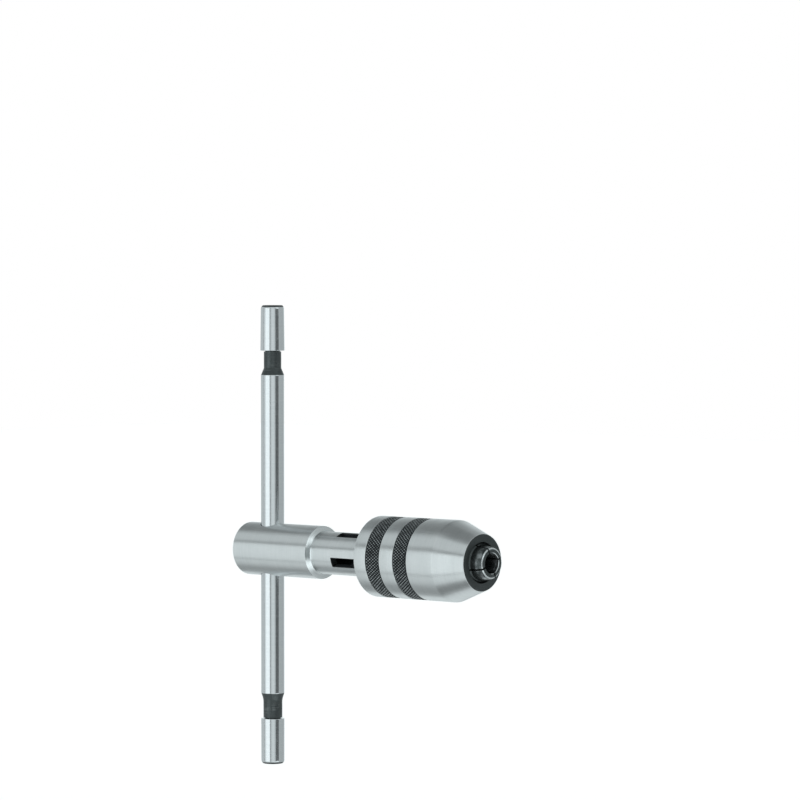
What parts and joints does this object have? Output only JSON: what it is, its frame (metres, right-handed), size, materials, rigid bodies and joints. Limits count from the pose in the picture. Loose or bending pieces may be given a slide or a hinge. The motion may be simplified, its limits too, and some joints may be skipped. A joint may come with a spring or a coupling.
{
  "type": "tap wrench",
  "caption": "T-handle tap wrench with a sliding bar, a slotted spring-jaw chuck and a knurled screw sleeve that closes the jaws on a square tap shank.",
  "frame": {"origin": "centre of the flat rear face of the barrel", "axes": "+X along the chuck from the rear face to the jaw tips, +Z along the sliding bar towards its longer side at rest"},
  "size_m": [0.0977, 0.0242, 0.1397],
  "materials": {
    "ground_steel": "ground, satin",
    "polished_steel": "fine ground, semi-bright",
    "blackened_steel": "black oxide, semi-gloss",
    "bright_spring_steel": "bright"
  },
  "bodies": {
    "body": {"body": "ground_steel", "detent_ball": "bright_spring_steel", "detent_spring": "bright_spring_steel", "plug_screw": "blackened_steel"},
    "ring": {"closing_ring": "blackened_steel"},
    "sleeve": {"chuck_sleeve": "ground_steel"},
    "jaw_1": {"jaw_1": "blackened_steel"},
    "jaw_2": {"jaw_2": "blackened_steel"},
    "jaw_3": {"jaw_3": "blackened_steel"},
    "jaw_4": {"jaw_4": "blackened_steel"},
    "handle": {"sliding_bar": "polished_steel", "bar_cap_upper": "polished_steel", "bar_cap_lower": "polished_steel"}
  },
  "joints": [
    {"name": "sleeve_travel", "type": "slide", "parent": "body", "child": "ring", "axis": [1, 0, 0], "range_m": [-0.001, 0.00375]},
    {"name": "sleeve_turn", "type": "hinge", "parent": "ring", "child": "sleeve", "pos_m": [0.074, 0, 0], "axis": [1, 0, 0], "range_deg": [-242, 902]},
    {"name": "jaw_1_flex", "type": "hinge", "parent": "body", "child": "jaw_1", "pos_m": [0.03945, 0.00214, 0.0048], "axis": [0, -0.9135, 0.4067], "range_deg": [-0.3, 1.11]},
    {"name": "jaw_2_flex", "type": "hinge", "parent": "body", "child": "jaw_2", "pos_m": [0.03945, -0.0048, 0.00214], "axis": [0, -0.4067, -0.9135], "range_deg": [-0.3, 1.11]},
    {"name": "jaw_3_flex", "type": "hinge", "parent": "body", "child": "jaw_3", "pos_m": [0.03945, -0.00214, -0.0048], "axis": [0, 0.9135, -0.4067], "range_deg": [-0.3, 1.11]},
    {"name": "jaw_4_flex", "type": "hinge", "parent": "body", "child": "jaw_4", "pos_m": [0.03945, 0.0048, -0.00214], "axis": [0, 0.4067, 0.9135], "range_deg": [-0.3, 1.11]},
    {"name": "bar_slide", "type": "slide", "parent": "body", "child": "handle", "axis": [0, 0, 1], "range_m": [-0.0525, 0.0435]}
  ],
  "couplings": [
    {"joint": "sleeve_turn", "follows": "sleeve_travel", "rad_per_m": 4188.8},
    {"joint": "jaw_1_flex", "follows": "sleeve_travel", "rad_per_m": 5.148},
    {"joint": "jaw_2_flex", "follows": "sleeve_travel", "rad_per_m": 5.148},
    {"joint": "jaw_3_flex", "follows": "sleeve_travel", "rad_per_m": 5.148},
    {"joint": "jaw_4_flex", "follows": "sleeve_travel", "rad_per_m": 5.148}
  ]
}
